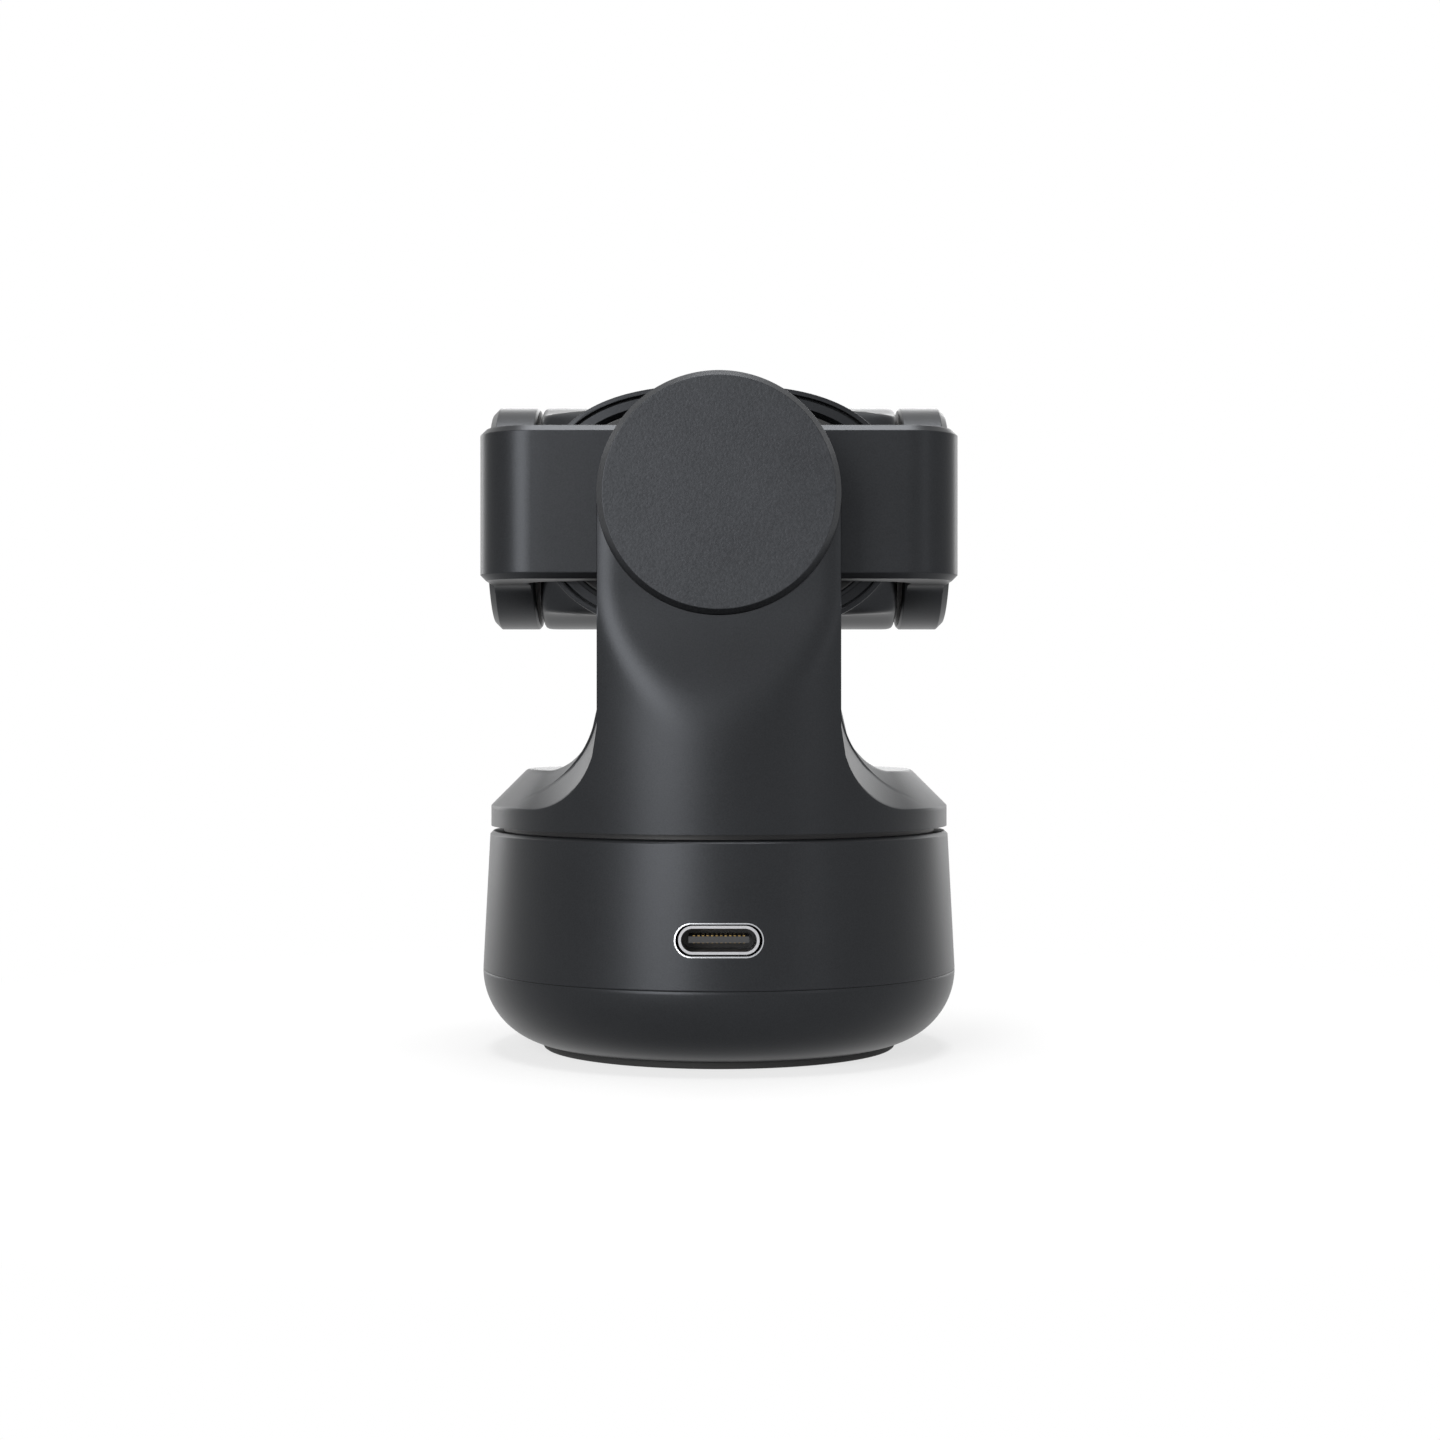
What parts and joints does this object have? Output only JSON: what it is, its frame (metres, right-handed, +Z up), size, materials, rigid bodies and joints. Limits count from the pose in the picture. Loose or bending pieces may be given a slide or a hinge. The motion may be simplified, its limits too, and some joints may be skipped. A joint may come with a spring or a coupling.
{
  "type": "pan tilt camera",
  "caption": "Small desk-standing motorised camera: round base, turning neck, rolling U-shaped yoke and a tilting oval head between its pods.",
  "frame": {"origin": "on the pan axis, on the plane that the foot stands on", "axes": "+Z up along the pan axis, +Y the way the lens looks, +X to the right seen from behind"},
  "size_m": [0.0568, 0.0568, 0.0796],
  "materials": {
    "dark_aluminium": "fine sand-blasted and dark anodised, matte",
    "blasted_cap": "coarser sand-blasted, dark anodised",
    "black_plastic": "moulded, matte",
    "black_rubber": "moulded, dull",
    "bright_rim": "machined edge, bright",
    "steel": "turned and plated",
    "brass": "turned",
    "board_green": "glass-fibre laminate with solder mask",
    "chip_black": "moulded packages",
    "bearing_steel": "ground and polished",
    "core_steel": "stacked laminations",
    "copper_winding": "enamelled copper wire",
    "magnet_nickel": "nickel plated",
    "smoked_cover": "smooth, semi-gloss",
    "panel_gloss": "polished",
    "clear_glass": "polished and coated",
    "lens_glass": "polished and coated",
    "light_guide": "clear moulded, frosted face",
    "sensor_die": "polished",
    "heat_aluminium": "extruded, plain",
    "socket_plastic": "moulded"
  },
  "bodies": {
    "base": {"foot_ring": "black_rubber", "lower_shell": "dark_aluminium", "tripod_insert": "brass", "ballast_ring": "steel", "base_housing": "dark_aluminium", "dust_ring": "black_plastic", "main_board": "board_green", "main_board_chips": "chip_black", "main_board_screws": "steel", "base_screws": "steel", "port_trim": "bright_rim", "socket_shell": "steel", "socket_tongue": "socket_plastic", "pan_bearings": "bearing_steel", "pan_stator_core": "core_steel", "pan_stator_coils": "copper_winding"},
    "pan": {"pan_shell": "dark_aluminium", "pan_shaft": "steel", "pan_shaft_screws": "steel", "pan_magnet_ring": "magnet_nickel", "pan_rotor_bell": "steel", "neck_front_cover": "black_plastic", "neck_board": "board_green", "neck_board_screws": "steel", "roll_cap": "blasted_cap", "roll_bearings": "bearing_steel", "roll_stator_core": "core_steel", "roll_stator_coils": "copper_winding"},
    "yoke": {"yoke_arm": "dark_aluminium", "roll_shaft": "steel", "roll_magnet_ring": "magnet_nickel", "roll_rotor_bell": "steel", "tilt_bearings": "bearing_steel", "tilt_stator_core": "core_steel", "tilt_stator_coils": "copper_winding", "tilt_sensor_board": "board_green", "pod_cap_left": "blasted_cap", "pod_cap_right": "blasted_cap"},
    "head": {"head_shell": "dark_aluminium", "head_rear_ring": "dark_aluminium", "head_rear_cover": "smoked_cover", "sensor_board": "board_green", "heat_spreader": "heat_aluminium", "image_sensor": "sensor_die", "lens_mount": "black_plastic", "focus_magnet": "magnet_nickel", "front_panel": "panel_gloss", "lens_trim_ring": "dark_aluminium", "lens_window": "clear_glass", "status_light": "light_guide", "microphones": "steel", "tilt_drive_shaft": "steel", "tilt_idle_shaft": "steel", "tilt_encoder_magnet": "magnet_nickel", "tilt_magnet_ring": "magnet_nickel", "tilt_rotor_bell": "steel"},
    "focus_carrier": {"lens_barrel": "black_plastic", "lens_elements": "lens_glass", "lens_retainer": "black_plastic", "focus_coil": "copper_winding"}
  },
  "joints": [
    {"name": "pan", "type": "hinge", "parent": "base", "child": "pan", "pos_m": [0, 0, 0.026], "axis": [0, 0, 1], "range_deg": [-150, 150]},
    {"name": "roll", "type": "hinge", "parent": "pan", "child": "yoke", "pos_m": [0, 0, 0.0645], "axis": [0, 1, 0], "range_deg": [-40, 40]},
    {"name": "tilt", "type": "hinge", "parent": "yoke", "child": "head", "pos_m": [0, 0.0112, 0.0645], "axis": [1, 0, 0], "range_deg": [-90, 90]},
    {"name": "focus", "type": "slide", "parent": "head", "child": "focus_carrier", "axis": [0, 1, 0], "range_m": [0, 0.0003], "stiffness_N_per_m": 400}
  ]
}
